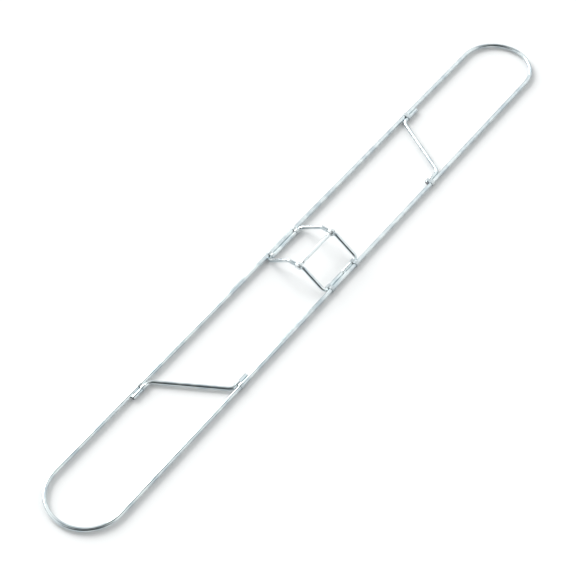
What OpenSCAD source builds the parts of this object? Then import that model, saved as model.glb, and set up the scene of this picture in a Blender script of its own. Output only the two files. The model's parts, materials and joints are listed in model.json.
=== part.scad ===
// Clip-on wire frame for a long dust mop head: a closed loop of round steel wire,
// two Z-shaped cross braces, a raised centre bail and a sliding rod for the handle's clip.
// Millimetres. X runs along the frame, Y across it, Z up. "near" is the -X end and "far"
// the +X end; "left" is the +Y side wire and "right" the -Y one. The frame stands on its
// bands, with the origin under its middle.

/* [Side wire loop] */
// Overall length of the loop, over its two end bows
loop_length = 1219; // [700:1:1600]
// Overall width of the loop, over its two side wires
loop_width = 129; // [90:1:200]
// Diameter of the loop's wire
wire_d = 7; // [4:0.05:10]

/* [Cross braces] */
// Diameter of the brace wire
brace_d = 6.35; // [4:0.05:10]
// Distance from the frame's middle to a brace's bend on the left side wire
brace_bend_left = 341; // [200:1:450]
// Distance from the frame's middle to a brace's bend on the right side wire
brace_bend_right = 278; // [150:1:400]
// Leg along the left side wire, from the bend outward to its cut end
brace_leg_left = 38; // [25:1:60]
// Leg along the right side wire, from the bend inward to its cut end
brace_leg_right = 33; // [25:1:60]
// Centreline radius of a brace's two bends
brace_bend_r = 14; // [4:0.5:20]

/* [Centre bail] */
// Diameter of the bail wire
bail_d = 6.35; // [4:0.05:10]
// Distance between the two arches, centre to centre
bail_length = 87; // [60:1:140]
// Height of an arch's level top over the loop's wires, centre to centre
bail_rise = 27; // [15:1:60]
// Length of an arch's level top, corner to corner
bail_top = 28; // [20:1:60]
// Centreline radius of the bail wire's bends
bail_bend_r = 7; // [4:0.5:15]
// Where the bail wire's two cut ends meet on the right, from the frame's middle
bail_joint_x = 4; // [-15:0.5:15]
// Gap between the bail wire's cut ends
bail_joint_gap = 0.8; // [0.2:0.1:2]

/* [Bands] */
// Width of the strap that each band is folded from
band_w = 7; // [4:0.5:12]
// Thickness of the strap
band_t = 1; // [0.5:0.1:2]
// Gap between the strap's two ends, under the band
band_seam = 0.6; // [0.2:0.1:2]
// From a brace's left bend to the centre of the band on that leg
brace_band_left = 14; // [10:0.5:30]
// From the near brace's right bend to the centre of its band
near_band_right = 12; // [10:0.5:28]
// From the far brace's right bend to the centre of its band
far_band_right = 28; // [10:0.5:28]
// From an arch to the centre of the band beside it
bail_band = 11; // [10:0.5:25]

/* [Clip rod] */
// Diameter of the rod that the handle's clip snaps on
rod_d = 6.35; // [4:0.05:10]
// Place of the rod across the frame at rest, from the middle
rod_y = -5; // [-6:0.5:6]
// Width of the curled eye at each end of the rod, along the arch's top
eye_w = 9; // [6:0.5:14]
// Thickness of the flattened rod end that the eye is curled from
eye_t = 2; // [1:0.1:3]
// Radial play of an eye on the arch's wire
eye_play = 0.3; // [0.2:0.05:0.6]
// Opening left between the eye's tip and the rod's root, in degrees
eye_slit = 24; // [10:1:60]

/* [Hidden] */
$fn = 64;

// The ends and sides: -1 is near or right, +1 is far or left
near = -1;
far = 1;
right = -1;
left = 1;

zinc = [0.80, 0.83, 0.85];
strap_zinc = [0.72, 0.75, 0.78];
rod_zinc = [0.76, 0.80, 0.83];

// Height of the wires' axes: the frame stands on its bands
axis_z = band_t + max(wire_d, brace_d, bail_d) / 2;
// The loop: radius of a bow's centreline, and half of a side wire's straight length
bow_r = (loop_width - wire_d) / 2;
half_straight = (loop_length - loop_width) / 2;
// Where the legs of the braces and the runs of the bail lie, against the side wires
brace_y = bow_r - (wire_d + brace_d) / 2;
bail_y = bow_r - (wire_d + bail_d) / 2;
top_z = axis_z + bail_rise;
// Eyes of the clip rod
eye_in_r = bail_d / 2 + eye_play;
eye_out_r = eye_in_r + eye_t;
arch_x = bail_length / 2;

// How far a bend of centreline radius r starts before its corner
function setback(angle, r) = r * tan(angle / 2);

// The brace's diagonal: its run along the frame, its length and its turn off the side wires
brace_run = brace_bend_left - brace_bend_right;
diagonal_length = norm([brace_run, 2 * brace_y]);
brace_turn = atan2(2 * brace_y, brace_run);
brace_setback = setback(brace_turn, brace_bend_r);

// An arch's slope: its run across the frame, its length and its angle off the loop's plane
slope_run = bail_y - bail_top / 2;
slope_length = norm([slope_run, bail_rise]);
slope_angle = atan2(bail_rise, slope_run);
foot_setback = setback(90, bail_bend_r);
top_setback = setback(slope_angle, bail_bend_r);

// Where the bail's straight runs begin, past the bend at each foot
run_x = arch_x - foot_setback;

// A wire fed along +Z from the origin and then bent towards +X
module bent_wire(feed, angle, d, r) {
    cylinder(d = d, h = feed);
    translate([0, 0, feed])
        rotate([90, 0, 180])
            translate([-r, 0, 0])
                rotate_extrude(angle = angle)
                    translate([r, 0])
                        circle(d = d);
}

// A straight length of round wire along X
module x_wire(from_x, to_x, y, z, d) {
    translate([from_x, y, z])
        rotate([0, 90, 0])
            cylinder(d = d, h = to_x - from_x);
}

module side_wire(side) {
    color(zinc)
        x_wire(-half_straight, half_straight, side * bow_r, axis_z, wire_d);
}

module bow(end) {
    color(zinc)
        translate([end * half_straight, 0, axis_z])
            rotate([0, 0, -90 * end])
                rotate_extrude(angle = 180)
                    translate([bow_r, 0])
                        circle(d = wire_d);
}

// A brace's leg, from its cut end, with the bend that turns it across the frame
module brace_leg(end, side) {
    bend_x = side == left ? brace_bend_left : brace_bend_right;
    leg = side == left ? brace_leg_left : brace_leg_right;
    color(zinc)
        mirror([end == far ? 1 : 0, 0, 0])
            translate([-bend_x - side * leg, side * brace_y, axis_z])
                rotate([90, 0, side * 90])
                    rotate([0, 0, 180])
                        bent_wire(leg - brace_setback, brace_turn, brace_d, brace_bend_r);
}

// The straight part of a brace, between its two bends
module brace_diagonal(end) {
    color(zinc)
        mirror([end == far ? 1 : 0, 0, 0])
            translate([-brace_bend_left, brace_y, axis_z])
                rotate([90, 0, 90 - brace_turn])
                    translate([0, 0, brace_setback])
                        cylinder(d = brace_d, h = diagonal_length - 2 * brace_setback);
}

// An arch's level top with the bend at each end, built outwards from its middle
module bail_top(end) {
    color(zinc)
        translate([end * arch_x, 0, top_z])
            for (side = [right, left])
                rotate([side * -90, 0, 0])
                    rotate([0, 0, side * 90])
                        bent_wire(bail_top / 2 - top_setback, slope_angle, bail_d, bail_bend_r);
}

// An arch's slope and the bend at its foot
module bail_leg(end, side) {
    straight = slope_length - foot_setback - top_setback;
    color(zinc)
        mirror([end == far ? 1 : 0, 0, 0])
            mirror([0, side == right ? 1 : 0, 0])
                translate([-arch_x, bail_top / 2, top_z])
                    rotate([-90 - slope_angle, 0, 0])
                        translate([0, 0, top_setback])
                            bent_wire(straight, 90, bail_d, bail_bend_r);
}

module bail_run(side, from_x, to_x) {
    color(zinc)
        x_wire(from_x, to_x, side * bail_y, axis_z, bail_d);
}

// The part of a band that is curled round a wire of radius r, from one angle over a span
module band_curl(r, from_angle, span) {
    rotate([0, 0, from_angle])
        rotate_extrude(angle = span)
            translate([r, 0])
                square([band_t, band_w]);
}

// A band folded round the side wire and the wire of diameter d that lies inside it, its
// two flats tangent to both wires and its seam in the middle of the lower flat
module band(x, side, d) {
    spacing = (wire_d + d) / 2;
    lean = asin((wire_d - d) / 2 / spacing);
    flat = spacing * cos(lean);
    color(strap_zinc)
        translate([x - band_w / 2, side * bow_r, axis_z])
            rotate([90, 0, 90])
                mirror([side == left ? 1 : 0, 0, 0]) {
                    band_curl(wire_d / 2, 90 - lean, 180 + 2 * lean);
                    translate([spacing, 0, 0])
                        band_curl(d / 2, lean - 90, 180 - 2 * lean);
                    rotate([0, 0, -lean])
                        translate([0, wire_d / 2, 0])
                            cube([flat, band_t, band_w]);
                    rotate([0, 0, lean])
                        for (from_x = [0, (flat + band_seam) / 2])
                            translate([from_x, -wire_d / 2 - band_t, 0])
                                cube([(flat - band_seam) / 2, band_t, band_w]);
                }
}

module bail_band(end, side) {
    band(end * (arch_x - bail_band), side, bail_d);
}

// The rod between the two eyes, its ends hollowed to seat on them
module clip_rod() {
    color(rod_zinc)
        difference() {
            x_wire(-arch_x, arch_x, rod_y, top_z, rod_d);
            for (end = [near, far])
                translate([end * arch_x, rod_y, top_z])
                    rotate([90, 0, 0])
                        cylinder(r = eye_out_r, h = eye_w + rod_d, center = true);
        }
}

// The eye curled round an arch's top, open below the rod's root
module rod_eye(end) {
    color(rod_zinc)
        translate([end * arch_x, rod_y + eye_w / 2, top_z])
            mirror([end == far ? 1 : 0, 0, 0])
                rotate([90, 0, 0])
                    rotate([0, 0, -asin(rod_d / 2 / eye_out_r)])
                        rotate_extrude(angle = 360 - eye_slit)
                            translate([eye_in_r, 0])
                                square([eye_t, eye_w]);
}

side_wire(left);  // side_wire_left
side_wire(right);  // side_wire_right
bow(near);  // bow_near
bow(far);  // bow_far
brace_leg(near, left);  // brace_leg_near_left
brace_diagonal(near);  // brace_diagonal_near
brace_leg(near, right);  // brace_leg_near_right
brace_leg(far, left);  // brace_leg_far_left
brace_diagonal(far);  // brace_diagonal_far
brace_leg(far, right);  // brace_leg_far_right
bail_top(near);  // bail_top_near
bail_top(far);  // bail_top_far
bail_leg(near, left);  // bail_leg_near_left
bail_leg(near, right);  // bail_leg_near_right
bail_leg(far, left);  // bail_leg_far_left
bail_leg(far, right);  // bail_leg_far_right
bail_run(left, -run_x, run_x);  // bail_run_left
bail_run(right, -run_x, bail_joint_x - bail_joint_gap / 2);  // bail_tail_near
bail_run(right, bail_joint_x + bail_joint_gap / 2, run_x);  // bail_tail_far
band(near * (brace_bend_left + brace_band_left), left, brace_d);  // brace_band_near_left
band(near * (brace_bend_right - near_band_right), right, brace_d);  // brace_band_near_right
band(far * (brace_bend_left + brace_band_left), left, brace_d);  // brace_band_far_left
band(far * (brace_bend_right - far_band_right), right, brace_d);  // brace_band_far_right
bail_band(near, left);  // bail_band_near_left
bail_band(near, right);  // bail_band_near_right
bail_band(far, left);  // bail_band_far_left
bail_band(far, right);  // bail_band_far_right
clip_rod();
rod_eye(near);  // rod_eye_near
rod_eye(far);  // rod_eye_far
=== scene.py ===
# %% [markdown]
# # A wire frame for a dust mop
# The real thing is a long closed loop of bright zinc-plated steel wire. Two bent braces
# cross it, a raised bail stands in its middle, and a short rod on the bail is what the
# handle's clip snaps onto. Folded bands of thin strap hold it all together.
#
# The CAD model gives every size and place. Each bent wire is drawn there as several simple
# solids, so that it collides well. Here each becomes what it is in the hand: one wire.

# %% Open the CAD frame
import json
import math

import bpy
from mathutils import Matrix, Vector

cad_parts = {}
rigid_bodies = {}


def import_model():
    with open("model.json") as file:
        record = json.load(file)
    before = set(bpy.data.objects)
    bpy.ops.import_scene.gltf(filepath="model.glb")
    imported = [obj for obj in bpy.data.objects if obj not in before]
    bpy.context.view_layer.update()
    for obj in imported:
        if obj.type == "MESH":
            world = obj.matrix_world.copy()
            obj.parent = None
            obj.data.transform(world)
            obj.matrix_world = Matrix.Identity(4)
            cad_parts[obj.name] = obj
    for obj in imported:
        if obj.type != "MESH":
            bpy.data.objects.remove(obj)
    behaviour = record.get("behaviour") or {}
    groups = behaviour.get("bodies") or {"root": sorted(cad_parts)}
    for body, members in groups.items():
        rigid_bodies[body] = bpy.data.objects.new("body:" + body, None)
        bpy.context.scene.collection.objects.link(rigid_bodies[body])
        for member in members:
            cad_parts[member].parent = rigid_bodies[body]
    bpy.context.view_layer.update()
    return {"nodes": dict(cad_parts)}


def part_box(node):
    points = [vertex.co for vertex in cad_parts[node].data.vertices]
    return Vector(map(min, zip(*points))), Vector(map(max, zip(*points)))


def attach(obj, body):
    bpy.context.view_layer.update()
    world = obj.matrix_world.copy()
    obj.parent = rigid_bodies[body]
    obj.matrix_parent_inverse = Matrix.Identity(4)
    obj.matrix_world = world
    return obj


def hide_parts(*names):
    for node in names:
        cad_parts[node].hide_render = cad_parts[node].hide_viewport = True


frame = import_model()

# %% [markdown]
# ## The loop's sizes
# Lengths are in metres. What can be read off the CAD solids is read off them: a straight
# wire's box gives its thickness and where its axis runs. The other sizes are the design's
# own numbers, such as where a brace bends, and each comes where it is first needed.

# %% Read the loop's sizes
side_low, side_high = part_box("side_wire_left")
LOOP_R = (side_high.z - side_low.z) / 2
AXIS_Z = (side_high.z + side_low.z) / 2
BOW_R = (side_high.y + side_low.y) / 2
HALF_STRAIGHT = side_high.x
print("loop wire radius, mm", round(LOOP_R * 1000, 3))
print("bow radius, mm", round(BOW_R * 1000, 2))

# %% [markdown]
# ## Bending wire
# A bending machine feeds straight wire, then wraps it round a former, then feeds again. The
# same two moves make the mesh: a ring is extruded along the feed, then spun round the
# former's axis. A curve with a bevel would be quicker, but the spin keeps each ring square
# to the wire, and its bends are exact arcs like the CAD's.
#
# A wire is described by the corners it would have if it bent sharply. Where each bend
# starts, what it turns about and how far it turns all follow from them.

# %% Find a wire's bends
BEND_STEP = math.radians(5)
FEWEST_STEPS = 3


def bends_of(corners, bend_r):
    """The start, centre, axis and angle of each bend."""
    found = []
    for before, corner, after in zip(corners, corners[1:], corners[2:]):
        come = (corner - before).normalized()
        go = (after - corner).normalized()
        angle = come.angle(go)
        start = corner - come * bend_r * math.tan(angle / 2)
        centre = corner + (go - come).normalized() * bend_r / math.cos(angle / 2)
        found.append((start, centre, come.cross(go).normalized(), angle))
    return found


square_corner = [Vector((-1, 0, 0)), Vector((0, 0, 0)), Vector((0, 1, 0))]
print("a square corner turns", round(math.degrees(bends_of(square_corner, 1)[0][3])))

# %% [markdown]
# An operator works on all that is selected, and the CAD solids start out selected. So every
# step deselects first, and then picks its vertices by their place. They are marked in
# object mode, because edit mode works on its own copy of the mesh.

# %% Select just what is meant
def deselect():
    """Leave edit mode and select nothing."""
    if bpy.context.object and bpy.context.object.mode == "EDIT":
        bpy.ops.object.mode_set(mode="OBJECT")
    bpy.ops.object.select_all(action="DESELECT")


def select_where(obj, test):
    """In edit mode, select just the vertices whose place passes the test."""
    bpy.ops.mesh.select_mode(type="VERT")
    bpy.ops.mesh.select_all(action="DESELECT")
    bpy.ops.object.mode_set(mode="OBJECT")
    for v in obj.data.vertices:
        v.select = bool(test(v.co))
    bpy.ops.object.mode_set(mode="EDIT")


deselect()
print("selected", len(bpy.context.selected_objects))

# %% [markdown]
# Every wire starts as a ring of vertices that faces the way the wire will run. Its place is
# applied straight away, so that the object sits at the origin and the place is in its mesh.
# Pulling it then leaves a tube of wire behind it.

# %% Start a ring and pull it
RING = 32


def start_ring(name, radius, place, ahead):
    """Add a ring that faces ahead, and open it in edit mode with all of it selected."""
    deselect()
    bpy.ops.mesh.primitive_circle_add(
        vertices=RING,
        radius=radius,
        location=place,
        rotation=ahead.to_track_quat("Z", "Y").to_euler(),
    )
    wire = bpy.context.object
    wire.name = name
    wire.data.name = name
    bpy.ops.object.transform_apply(location=True, rotation=True, scale=True)
    bpy.ops.object.mode_set(mode="EDIT")
    bpy.ops.mesh.select_all(action="SELECT")
    return wire


def pull(move):
    """Extrude what is selected by this much."""
    bpy.ops.mesh.extrude_region_move(TRANSFORM_OT_translate={"value": move})


print("each ring has", RING, "vertices")

# %% [markdown]
# A finished mesh is gone over once. Rings that lie on each other are merged, which closes the
# loop. The faces are turned outwards, since a spin can leave them inside out. Then all but
# the real edges are shaded smooth.

# %% Tidy a finished mesh
SAME_PLACE = 1e-6
SMOOTH_UNDER = math.radians(35)


def tidy(obj):
    """Close seams, point every face outwards and smooth what isn't a real edge."""
    bpy.ops.object.mode_set(mode="EDIT")
    bpy.ops.mesh.select_all(action="SELECT")
    bpy.ops.mesh.remove_doubles(threshold=SAME_PLACE)
    bpy.ops.mesh.normals_make_consistent(inside=False)
    bpy.ops.object.mode_set(mode="OBJECT")
    bpy.ops.object.shade_smooth_by_angle(angle=SMOOTH_UNDER)
    print(obj.name, len(obj.data.polygons), "faces")


# %% [markdown]
# A shear doesn't leave a flat, sharp end on a wire. It rolls the rim over and leaves the
# face a little dished in. So each cut end is drawn in over its last half millimetre, and its
# face is set back. The places of the cuts are kept, because they get a finish of their own.

# %% Cut a wire's end
ROLL = 0.0005
ROLL_STEPS = ((0.6, 0.96), (0.4, 0.86))  # share of the roll, and the rim's new size
DISH_DEPTH = 0.3 * ROLL
DISH_SIZE = 0.7
IN_PLANE = 1e-5
RIM_REACH = 1.02  # a rim's vertices lie one radius out, and a little slack is allowed
cut_places = []


def cut_end(obj, place, outward, radius):
    """Roll over the rim of the open end at this place, and close it with a dished face."""
    cut_places.append((obj.name, place.copy(), radius))
    select_where(
        obj,
        lambda co: abs((co - place).dot(outward)) < IN_PLANE
        and (co - place).length < radius * RIM_REACH,
    )
    bpy.ops.transform.translate(value=outward * -ROLL)
    place = place - outward * ROLL
    for share, size in ROLL_STEPS:
        step = outward * (ROLL * share)
        pull(step)
        place = place + step
        bpy.ops.transform.resize(value=(size, size, size), center_override=place)
    pull(outward * -DISH_DEPTH)
    bpy.ops.transform.resize(
        value=(DISH_SIZE, DISH_SIZE, DISH_SIZE), center_override=place
    )
    bpy.ops.mesh.edge_face_add()


# %% [markdown]
# With these the whole wire can be made. The ring is pulled to where each bend starts and spun
# round its centre, and at last pulled to the wire's end. An open wire has both its ends cut.
# A closed one comes back to its own start.

# %% Bend a wire through its corners
def bend_wire(name, corners, bend_r, radius, closed=False):
    """Make one wire that runs through these corners, with every bend of one radius."""
    corners = [Vector(c) for c in corners]
    ahead = (corners[1] - corners[0]).normalized()
    wire = start_ring(name, radius, corners[0], ahead)
    place = corners[0]
    for start, centre, axis, angle in bends_of(corners, bend_r):
        if (start - place).length > SAME_PLACE:
            pull(start - place)
        steps = max(FEWEST_STEPS, round(angle / BEND_STEP))
        bpy.ops.mesh.spin(steps=steps, angle=-angle, center=centre, axis=axis)
        place = centre + Matrix.Rotation(angle, 3, axis) @ (start - centre)
    pull(corners[-1] - place)
    if not closed:
        cut_end(wire, corners[-1], (corners[-1] - corners[-2]).normalized(), radius)
        cut_end(wire, corners[0], -ahead, radius)
    tidy(wire)
    return wire


# %% [markdown]
# ## The loop
# The loop is a rectangle whose corners are bent so wide that the two at each end make one
# half circle. The wire starts and ends in the middle of the left side, where its mesh closes.

# %% Bend the loop
END_X = HALF_STRAIGHT + BOW_R
loop = bend_wire(
    "loop_wire",
    [
        (0, BOW_R, AXIS_Z),
        (END_X, BOW_R, AXIS_Z),
        (END_X, -BOW_R, AXIS_Z),
        (-END_X, -BOW_R, AXIS_Z),
        (-END_X, BOW_R, AXIS_Z),
        (0, BOW_R, AXIS_Z),
    ],
    BOW_R,
    LOOP_R,
    closed=True,
)
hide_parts("side_wire_left", "side_wire_right", "bow_near", "bow_far")
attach(loop, "frame")

# %% [markdown]
# ## The braces
# Each brace is a wire with two bends, so that it lies along the left side wire, crosses the
# frame and lies along the right one. The far brace is the near one's mirror image. Mirroring
# the corner points is safer than mirroring a mesh, which would turn it inside out.

# %% Bend the braces
diagonal_low, diagonal_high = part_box("brace_diagonal_near")
BRACE_R = (diagonal_high.z - diagonal_low.z) / 2
BRACE_Y = BOW_R - LOOP_R - BRACE_R
BRACE_BEND_LEFT = 0.341
BRACE_BEND_RIGHT = 0.278
BRACE_BEND_R = 0.014
for end, name in ((-1, "near"), (1, "far")):
    left_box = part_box(f"brace_leg_{name}_left")
    right_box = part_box(f"brace_leg_{name}_right")
    outer = left_box[0].x if end < 0 else left_box[1].x
    inner = right_box[1].x if end < 0 else right_box[0].x
    brace = bend_wire(
        f"brace_{name}_wire",
        [
            (outer, BRACE_Y, AXIS_Z),
            (end * BRACE_BEND_LEFT, BRACE_Y, AXIS_Z),
            (end * BRACE_BEND_RIGHT, -BRACE_Y, AXIS_Z),
            (inner, -BRACE_Y, AXIS_Z),
        ],
        BRACE_BEND_R,
        BRACE_R,
    )
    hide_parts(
        f"brace_leg_{name}_left",
        f"brace_diagonal_{name}",
        f"brace_leg_{name}_right",
    )
    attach(brace, "frame")

# %% [markdown]
# ## The bail
# One wire makes the whole bail. It starts at a cut end on the right, runs out to the near
# arch, climbs over it, runs along the left side wire, climbs back over the far arch and ends
# facing its own start. The arches' level tops run at the height of the clip rod's axis.

# %% Bend the bail
run_low, run_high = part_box("bail_run_left")
rod_low, rod_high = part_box("clip_rod")
near_tail_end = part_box("bail_tail_near")[1].x
far_tail_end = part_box("bail_tail_far")[0].x
BAIL_R = (run_high.z - run_low.z) / 2
BAIL_Y = (run_high.y + run_low.y) / 2
TOP_Z = (rod_high.z + rod_low.z) / 2
BAIL_TOP = 0.028
TOP_Y = BAIL_TOP / 2
ARCH_X = 0.0435
BAIL_BEND_R = 0.007
bail = bend_wire(
    "bail_wire",
    [
        (near_tail_end, -BAIL_Y, AXIS_Z),
        (-ARCH_X, -BAIL_Y, AXIS_Z),
        (-ARCH_X, -TOP_Y, TOP_Z),
        (-ARCH_X, TOP_Y, TOP_Z),
        (-ARCH_X, BAIL_Y, AXIS_Z),
        (ARCH_X, BAIL_Y, AXIS_Z),
        (ARCH_X, TOP_Y, TOP_Z),
        (ARCH_X, -TOP_Y, TOP_Z),
        (ARCH_X, -BAIL_Y, AXIS_Z),
        (far_tail_end, -BAIL_Y, AXIS_Z),
    ],
    BAIL_BEND_R,
    BAIL_R,
)
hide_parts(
    "bail_top_near",
    "bail_top_far",
    "bail_leg_near_left",
    "bail_leg_near_right",
    "bail_leg_far_left",
    "bail_leg_far_right",
    "bail_run_left",
    "bail_tail_near",
    "bail_tail_far",
)
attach(bail, "frame")

# %% [markdown]
# ## The bands
# A band is a short length of strap, folded round both wires until its ends nearly meet
# underneath, then squeezed, which presses its middle into the valley between the wires. The
# loop's wire is a little thicker than the others, so the flats above and below lean.

# %% Set out a band's path
BAND_W = 0.007
BAND_T = 0.001
BAND_SEAM = 0.0006
ALONG_X = Vector((1, 0, 0))
spacing = LOOP_R + BRACE_R
lean = math.asin((LOOP_R - BRACE_R) / spacing)
flat = spacing * math.cos(lean)
outer_axis = Vector((0, BOW_R, AXIS_Z))
inner_axis = Vector((0, BOW_R - spacing, AXIS_Z))
up_side = Vector((0, -math.sin(lean), math.cos(lean)))
under_side = Vector((0, -math.sin(lean), -math.cos(lean)))
homeward = Vector((0, -math.cos(lean), -math.sin(lean)))
outward = Vector((0, math.cos(lean), -math.sin(lean)))
seam = (outer_axis + inner_axis) / 2 + under_side * ((LOOP_R + BRACE_R + BAND_T) / 2)
print("the flats are", round(flat * 1000, 2), "mm long")
print("they lean", round(math.degrees(lean), 2), "degrees")

# %% [markdown]
# The crimping jaws press the strap in most at the middle of a flat, and hardly at all near
# the wires, which hold it up. A cosine to a high power has that shape. The top is pressed
# deeper than the underside, which rested on the anvil.

# %% Lay a flat with a dip in it
TOP_DIP = 0.0008
UNDER_DIP = 0.00035
DIP_POWER = 4
FLAT_STEPS = 8


def dip(at, depth):
    """How far the strap is pressed in, at a place along a flat from its middle."""
    return depth * math.cos(math.pi * at / flat) ** DIP_POWER


def lay_flat(start, end, heading, pressed, depth):
    """Lay strap from start to end, both measured from the flat's middle."""
    steps = max(FEWEST_STEPS, round(FLAT_STEPS * (end - start) / flat))
    at = start
    for k in range(1, steps + 1):
        reach = start + (end - start) * k / steps
        pull(heading * (reach - at) + pressed * (dip(reach, depth) - dip(at, depth)))
        at = reach


print("deepest dip, mm", dip(0, TOP_DIP) * 1000)

# %% [markdown]
# The strap's end is drawn once, as a small open rectangle. It then travels the way the strap
# was folded: out along the underside, round the side wire, back over the top, round the
# inner wire and in again to the seam.

# %% Fold one band
FOLD_STEPS = 24
strap_end = seam + outward * BAND_SEAM / 2 - under_side * dip(BAND_SEAM / 2, UNDER_DIP)
deselect()
bpy.ops.mesh.primitive_plane_add(
    size=1, location=strap_end, rotation=(-math.pi / 2 - lean, 0, 0)
)
band = bpy.context.object
band.name = "band"
band.scale = (BAND_W, BAND_T, 1)
bpy.ops.object.transform_apply(location=True, rotation=True, scale=True)
bpy.ops.object.mode_set(mode="EDIT")
bpy.ops.mesh.select_all(action="SELECT")
bpy.ops.mesh.delete(type="ONLY_FACE")
bpy.ops.mesh.select_all(action="SELECT")
lay_flat(BAND_SEAM / 2, flat / 2, outward, -under_side, UNDER_DIP)
bpy.ops.mesh.spin(
    steps=FOLD_STEPS, angle=-(math.pi + 2 * lean), center=outer_axis, axis=ALONG_X
)
lay_flat(-flat / 2, flat / 2, homeward, -up_side, TOP_DIP)
bpy.ops.mesh.spin(
    steps=FOLD_STEPS, angle=-(math.pi - 2 * lean), center=inner_axis, axis=ALONG_X
)
lay_flat(-flat / 2, -BAND_SEAM / 2, outward, -under_side, UNDER_DIP)
print("the seam is", BAND_SEAM * 1000, "mm wide")

# %% [markdown]
# The fold leaves the strap open at both its ends. Each gets a face. The strap's long edges
# aren't quite sharp, and a narrow bevel rounds them and lets them catch the light. The bevel
# goes by angle, so it leaves the folds alone.

# %% Close the strap's ends and soften its edges
EDGE_WIDTH = 0.00018
for end in (-1, 1):
    place = seam + outward * (end * BAND_SEAM / 2)
    select_where(
        band,
        lambda co: abs((co - place).dot(outward)) < BAND_SEAM / 4
        and (co - place).length < BAND_W,
    )
    bpy.ops.mesh.edge_face_add()
tidy(band)
soften = band.modifiers.new("soften", "BEVEL")
soften.width = EDGE_WIDTH
soften.segments = 2
soften.limit_method = "ANGLE"
soften.angle_limit = math.radians(50)
bpy.ops.object.modifier_apply(modifier="soften")
tidy(band)

# %% [markdown]
# The same band is used eight times. On the right side wire it is turned half round about the
# vertical, which brings its seam and its dip to the right places without mirroring anything.
# Each copy has its own mesh, and its place goes into that mesh.

# %% Put a band at each place
for node in sorted(n for n in frame["nodes"] if "_band_" in n):
    low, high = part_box(node)
    deselect()
    band.select_set(True)
    bpy.context.view_layer.objects.active = band
    bpy.ops.object.duplicate()
    piece = bpy.context.object
    piece.name = node + "_strap"
    piece.data.name = piece.name
    if high.y < 0:
        piece.rotation_euler = (0, 0, math.pi)
    piece.location.x = (low.x + high.x) / 2
    bpy.ops.object.transform_apply(location=True, rotation=True, scale=True)
    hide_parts(node)
    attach(piece, "frame")
    print(piece.name)
bpy.data.objects.remove(band)

# %% [markdown]
# ## The clip rod
# The rod is one more wire, but its ends were hammered flat and curled round the arches. The
# curl is what lets it slide. Each end is worked like the real one: flattened over a few
# millimetres, set upwards so that the flat meets the top of the arch, then curled over it
# and most of the way round. The set is an arc that just touches the curl.

# %% Pull the rod's round part
ROD_R = (rod_high.z - rod_low.z) / 2
ROD_Y = (rod_high.y + rod_low.y) / 2
EYE_PLAY = 0.0003
EYE_T = 0.002
EYE_W = 0.009
EYE_R = BAIL_R + EYE_PLAY + EYE_T / 2
SET_R = 0.004
FLATTEN_LENGTH = 0.006
set_angle = math.acos(SET_R / (SET_R + EYE_R))
set_x = ARCH_X - (SET_R + EYE_R) * math.sin(set_angle)
round_x = set_x - FLATTEN_LENGTH
rod = start_ring("clip_rod_wire", ROD_R, Vector((-round_x, ROD_Y, TOP_Z)), ALONG_X)
pull(ALONG_X * 2 * round_x)
print("the rod is round for", round(2000 * round_x, 1), "mm")

# %% [markdown]
# A hammered end grows wider as it grows thinner, and the change eases in and out. So each
# step of the flattening scales the last outline both ways, by a cosine share of the whole.

# %% Flatten and curl its two ends
FLATTEN_STEPS = 6
SET_STEPS = 10
CURL_STEPS = 48
CURL = math.radians(304)
flat_y = EYE_W / 2 / ROD_R
flat_z = EYE_T / 2 / ROD_R
for end in (-1, 1):
    place = Vector((end * round_x, ROD_Y, TOP_Z))
    select_where(rod, lambda co: abs(co.x - place.x) < IN_PLANE)
    wide = thick = 1.0
    for k in range(1, FLATTEN_STEPS + 1):
        share = (1 - math.cos(math.pi * k / FLATTEN_STEPS)) / 2
        step = Vector((end * FLATTEN_LENGTH / FLATTEN_STEPS, 0, 0))
        pull(step)
        place = place + step
        new_wide, new_thick = 1 + (flat_y - 1) * share, 1 + (flat_z - 1) * share
        bpy.ops.transform.resize(
            value=(1, new_wide / wide, new_thick / thick), center_override=place
        )
        wide, thick = new_wide, new_thick
    set_centre = place + Vector((0, 0, SET_R))
    curl_centre = (end * ARCH_X, ROD_Y, TOP_Z)
    bpy.ops.mesh.spin(
        steps=SET_STEPS, angle=-set_angle, center=set_centre, axis=(0, -end, 0)
    )
    bpy.ops.mesh.spin(
        steps=CURL_STEPS, angle=-CURL, center=curl_centre, axis=(0, end, 0)
    )
    bpy.ops.mesh.edge_face_add()
tidy(rod)
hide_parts("clip_rod", "rod_eye_near", "rod_eye_far")
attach(rod, "clip_rod")

# %% [markdown]
# ## The finish
# Bright zinc plate is almost a mirror, but never an even one. In it are cloudy patches, where
# the plating took more or less, and these change the colour a little and the roughness more.
# Most of what makes zinc look like zinc is in the roughness, because a mirror shows mostly
# what is around it.
#
# A finish is a small tree of nodes. A few helpers add the nodes that every finish needs, and
# hand back the output that the next node reads.

# %% Helpers for node trees
def add_node(tree, kind, **settings):
    """Add a shader node and set it up."""
    made = tree.nodes.new("ShaderNode" + kind)
    for key, value in settings.items():
        setattr(made, key, value)
    return made


def add_noise(tree, coordinates, scale, detail):
    """Cloudy noise: a scale of 50 gives patches a fiftieth of a metre wide."""
    noise = add_node(tree, "TexNoise")
    noise.inputs["Scale"].default_value = scale
    noise.inputs["Detail"].default_value = detail
    tree.links.new(coordinates, noise.inputs["Vector"])
    return noise.outputs["Fac"]


def add_range(tree, value, span, onto, easing="LINEAR"):
    """Spread a value that lies in one span over another."""
    scaled = add_node(tree, "MapRange", interpolation_type=easing)
    for key, number in zip(("From Min", "From Max", "To Min", "To Max"), span + onto):
        scaled.inputs[key].default_value = number
    tree.links.new(value, scaled.inputs["Value"])
    return scaled.outputs["Result"]


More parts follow.
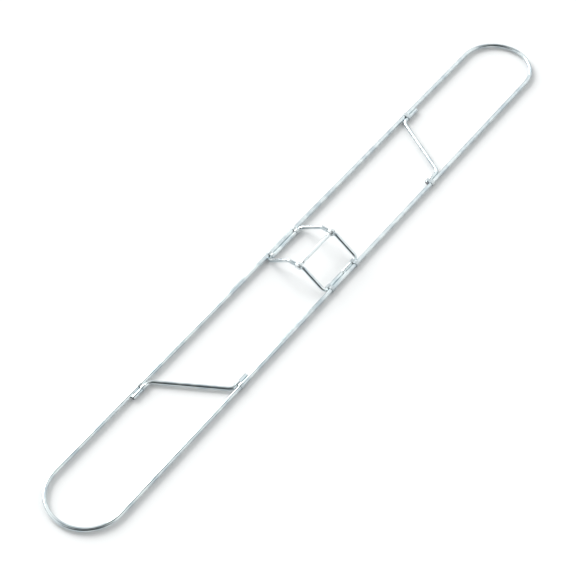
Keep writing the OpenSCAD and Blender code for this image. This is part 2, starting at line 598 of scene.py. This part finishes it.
def add_sum(tree, first, second):
    """Add two outputs together."""
    summed = add_node(tree, "Math", operation="ADD")
    tree.links.new(first, summed.inputs[0])
    tree.links.new(second, summed.inputs[1])
    return summed.outputs["Value"]


def add_mix(tree, factor, first, second):
    """Mix two colours, each given as three numbers or as another node's output."""
    mixed = add_node(tree, "Mix", data_type="RGBA")
    for key, colour in (("A", first), ("B", second)):
        if isinstance(colour, tuple):
            mixed.inputs[key].default_value = (*colour, 1)
        else:
            tree.links.new(colour, mixed.inputs[key])
    tree.links.new(factor, mixed.inputs["Factor"])
    return mixed.outputs["Result"]


# %% [markdown]
# Worked metal has fine lines along the way it was rolled or drawn. They are noise too, but
# stretched: its scale is high across the lines and low along them. A bump node turns them
# into slopes that the light sees, without any change to the mesh.

# %% Helpers for worked metal
def new_metal(name):
    """A metal whose colour, roughness and relief are still to come."""
    material = bpy.data.materials.new(name)
    material.use_nodes = True
    tree = material.node_tree
    shader = tree.nodes["Principled BSDF"]
    shader.inputs["Metallic"].default_value = 1.0
    return material, tree, shader


def add_lines(tree, coordinates, stretch, detail):
    """Noise with its own scale along each axis."""
    stretched = add_node(tree, "Mapping")
    stretched.inputs["Scale"].default_value = stretch
    tree.links.new(coordinates, stretched.inputs["Vector"])
    return add_noise(tree, stretched.outputs["Vector"], 1, detail)


def add_relief(tree, shader, height, strength, depth):
    """Tilt the surface as a relief of this height would."""
    bump = add_node(tree, "Bump")
    bump.inputs["Strength"].default_value = strength
    bump.inputs["Distance"].default_value = depth
    tree.links.new(height, bump.inputs["Height"])
    tree.links.new(bump.outputs["Normal"], shader.inputs["Normal"])


# %% [markdown]
# One function builds all three zinc finishes. What it is told is how light and how rough the
# plate is, how deep its relief is, and how its lines are stretched. The strap was rolled, so
# its lines follow its folds, and the rod was drawn, so its lines follow its length. The
# bent wires have clouds and specks and no lines, because lines on object coordinates
# wouldn't follow them round their bends.

# %% Mix three zinc finishes
CLOUD_SCALE, CLOUD_DETAIL = 55, 4
SPECK_SCALE, SPECK_DETAIL = 900, 2
LINE_DETAIL = 3
COLOUR_SPAN = (0.35, 0.62)
NOISE_SPAN = (0.3, 0.7)
LINE_ROUGHNESS = (-0.02, 0.04)
ZINC_RELIEF = 0.35


def zinc_finish(name, light, dark, roughness, depth, stretch=None):
    """Zinc plate: cloudy and specked, with fine lines where it is given a stretch."""
    material, tree, shader = new_metal(name)
    places = add_node(tree, "TexCoord").outputs["Object"]
    clouds = add_noise(tree, places, CLOUD_SCALE, CLOUD_DETAIL)
    height = add_noise(tree, places, SPECK_SCALE, SPECK_DETAIL)
    paleness = add_range(tree, clouds, COLOUR_SPAN, (0, 1))
    dullness = add_range(tree, clouds, NOISE_SPAN, roughness)
    if stretch:
        lines = add_lines(tree, places, stretch, LINE_DETAIL)
        lined = add_range(tree, lines, NOISE_SPAN, LINE_ROUGHNESS)
        dullness = add_sum(tree, dullness, lined)
        height = add_sum(tree, lines, height)
    tree.links.new(add_mix(tree, paleness, dark, light), shader.inputs["Base Color"])
    tree.links.new(dullness, shader.inputs["Roughness"])
    add_relief(tree, shader, height, ZINC_RELIEF, depth)
    print(name, len(tree.nodes), "nodes")
    return material


wire_zinc = zinc_finish(
    "wire_zinc",
    light=(0.76, 0.81, 0.82),
    dark=(0.52, 0.59, 0.63),
    roughness=(0.07, 0.17),
    depth=0.00002,
)
strap_zinc = zinc_finish(
    "strap_zinc",
    light=(0.66, 0.70, 0.71),
    dark=(0.44, 0.49, 0.52),
    roughness=(0.12, 0.28),
    depth=0.00003,
    stretch=(1500, 40, 40),
)
rod_zinc = zinc_finish(
    "rod_zinc",
    light=(0.88, 0.92, 0.93),
    dark=(0.76, 0.81, 0.83),
    roughness=(0.22, 0.36),
    depth=0.00003,
    stretch=(30, 1500, 1500),
)

# %% [markdown]
# A cut end shows bare steel, since it is sheared after plating. The shear leaves it dull and
# streaked one way, part bright where the blade cut and part torn where the wire broke.

# %% Bare steel for the cut ends
STREAK_STRETCH = (900, 900, 120)
STREAK_DETAIL = 4
TORN_STEEL = (0.16, 0.16, 0.17)
SHEARED_STEEL = (0.38, 0.38, 0.39)
CUT_ROUGHNESS = (0.35, 0.6)
CUT_RELIEF, CUT_DEPTH = 0.5, 0.00008
sheared, tree, shader = new_metal("sheared_steel")
places = add_node(tree, "TexCoord").outputs["Object"]
streaks = add_lines(tree, places, STREAK_STRETCH, STREAK_DETAIL)
steel = add_mix(tree, streaks, TORN_STEEL, SHEARED_STEEL)
tree.links.new(steel, shader.inputs["Base Color"])
dullness = add_range(tree, streaks, NOISE_SPAN, CUT_ROUGHNESS)
tree.links.new(dullness, shader.inputs["Roughness"])
add_relief(tree, shader, streaks, CUT_RELIEF, CUT_DEPTH)
print(sheared.name, len(tree.nodes), "nodes")

# %% [markdown]
# Each piece gets its finish. On the cut wires, the faces within the rolled rim of a wire's
# end, which look along the wire, get the bare steel.

# %% Put the finishes on
LOOKS_ALONG = 0.7
for obj in bpy.data.objects:
    if obj.type != "MESH" or obj.name in frame["nodes"]:
        continue
    finish = wire_zinc
    if obj.name.endswith("_strap"):
        finish = strap_zinc
    if obj.name.startswith("clip_rod"):
        finish = rod_zinc
    obj.data.materials.clear()
    obj.data.materials.append(finish)

for name, place, radius in cut_places:
    mesh = bpy.data.objects[name].data
    if sheared.name not in mesh.materials:
        mesh.materials.append(sheared)
    cut = [
        face
        for face in mesh.polygons
        if abs(face.normal.x) > LOOKS_ALONG and (face.center - place).length < radius
    ]
    for face in cut:
        face.material_index = 1
    print(name, len(cut), "cut faces")

# %% [markdown]
# ## The camera
# A long lens from far away keeps the two side wires nearly parallel. The camera looks down
# at about fifty degrees, from the near right corner, so that the frame runs from corner to
# corner of the view.

# %% Set the camera
CAMERA_AZIMUTH = math.radians(-53.74)
CAMERA_ELEVATION = math.radians(49.86)
CAMERA_DISTANCE = 2.6885
CAMERA_TARGET = Vector((-0.0711, -0.0041, 0.0042))
CAMERA_LENS = 107.9
level = Vector((math.sin(CAMERA_AZIMUTH), -math.cos(CAMERA_AZIMUTH), 0))
back = level * math.cos(CAMERA_ELEVATION)
back.z = math.sin(CAMERA_ELEVATION)
deselect()
bpy.ops.object.camera_add(
    location=CAMERA_TARGET + back * CAMERA_DISTANCE,
    rotation=back.to_track_quat("Z", "Y").to_euler(),
)
camera = bpy.context.object
camera.name = "camera"
camera.data.sensor_width = 36
camera.data.lens = CAMERA_LENS
camera.data.clip_end = 50
bpy.context.scene.camera = camera
print("camera at", [round(c, 3) for c in camera.location])

# %% [markdown]
# ## The floor and the light
# The floor is white paper on a faintly glowing table. The glow fills the shadows a little,
# as light coming through the paper would. Paper has no gloss, so its specular level is none.

# %% Lay the floor
PAPER_WHITE = (0.86, 0.86, 0.86)
PAPER_GLOW = 0.09
deselect()
bpy.ops.mesh.primitive_plane_add(size=12)
floor = bpy.context.object
floor.name = "floor"
paper = bpy.data.materials.new("paper")
paper.use_nodes = True
shader = paper.node_tree.nodes["Principled BSDF"]
shader.inputs["Base Color"].default_value = (*PAPER_WHITE, 1)
shader.inputs["Roughness"].default_value = 0.9
shader.inputs["Specular IOR Level"].default_value = 0
shader.inputs["Emission Color"].default_value = (1, 1, 1, 1)
shader.inputs["Emission Strength"].default_value = PAPER_GLOW
floor.data.materials.append(paper)
print("floor", [round(d) for d in floor.dimensions])

# %% [markdown]
# A mirror-bright wire takes its shading from the room. It looks like metal when it has
# something bright and something dark to show. The room is bright at middling heights, all
# the way round, and dark near the floor and overhead, so that each wire shows pale and dark
# bands. A colour ramp on the height of each direction paints that.

# %% Tone the room by height
ROOM_TONES = (
    (0.0, 0.1), (0.12, 0.2), (0.28, 1.2), (0.80, 1.2), (0.92, 0.25), (1.0, 0.15),
)
COOL_RED = 0.97  # a little less red than green and blue
world = bpy.data.worlds.new("room")
bpy.context.scene.world = world
world.use_nodes = True
tree = world.node_tree
heading = add_node(tree, "TexCoord").outputs["Generated"]
split = add_node(tree, "SeparateXYZ")
tree.links.new(heading, split.inputs["Vector"])
tones = add_node(tree, "ValToRGB")
tree.links.new(split.outputs["Z"], tones.inputs["Fac"])
for place, _ in ROOM_TONES[1:-1]:
    tones.color_ramp.elements.new(place)
for stop, (place, tone) in zip(tones.color_ramp.elements, ROOM_TONES):
    stop.position = place
    stop.color = (tone * COOL_RED, tone, tone, 1)
print("room tones", len(tones.color_ramp.elements))

# %% [markdown]
# The room has one dark side, the unlit part of the studio on the near right. It draws the thin
# dark line along each wire that crosses the view. The dot product of a direction with that
# side's own says how near the two are. The dark side is only for reflections: what the
# camera sees past the floor is white.

# %% Darken one side of the room
DARK_SIDE = (0.36, 0.66)
DARK_TONE = (0.014, 0.020, 0.024)
WHITE = (1.0, 1.0, 1.0)
toward = add_node(tree, "VectorMath", operation="DOT_PRODUCT")
toward.inputs[1].default_value = level
tree.links.new(heading, toward.inputs[0])
unlit = add_range(tree, toward.outputs["Value"], DARK_SIDE, (0, 1), "SMOOTHSTEP")
room = add_mix(tree, unlit, tones.outputs["Color"], DARK_TONE)
seen = add_node(tree, "LightPath").outputs["Is Camera Ray"]
backdrop = add_mix(tree, seen, room, WHITE)
tree.links.new(backdrop, tree.nodes["Background"].inputs["Color"])
bpy.context.scene.view_settings.view_transform = "Standard"
print(world.name, len(tree.nodes), "nodes")

# %% [markdown]
# One large soft light stands over the far left, so each wire's shadow falls towards the
# camera and fades within a wire's width or two. A sun with a wide disc is used, because it
# lights the whole floor evenly, and the floor then stays white right to the corners.

# %% Add the key light
KEY_FROM = Vector((0.15, 0.75, 0.40)).normalized()
KEY_STRENGTH = 2.9
KEY_SPREAD = math.radians(40)
deselect()
bpy.ops.object.light_add(
    type="SUN",
    location=KEY_FROM * 3,
    rotation=KEY_FROM.to_track_quat("Z", "Y").to_euler(),
)
key = bpy.context.object
key.name = "key"
key.data.energy = KEY_STRENGTH
key.data.angle = KEY_SPREAD
print("key light from", [round(c, 2) for c in KEY_FROM])
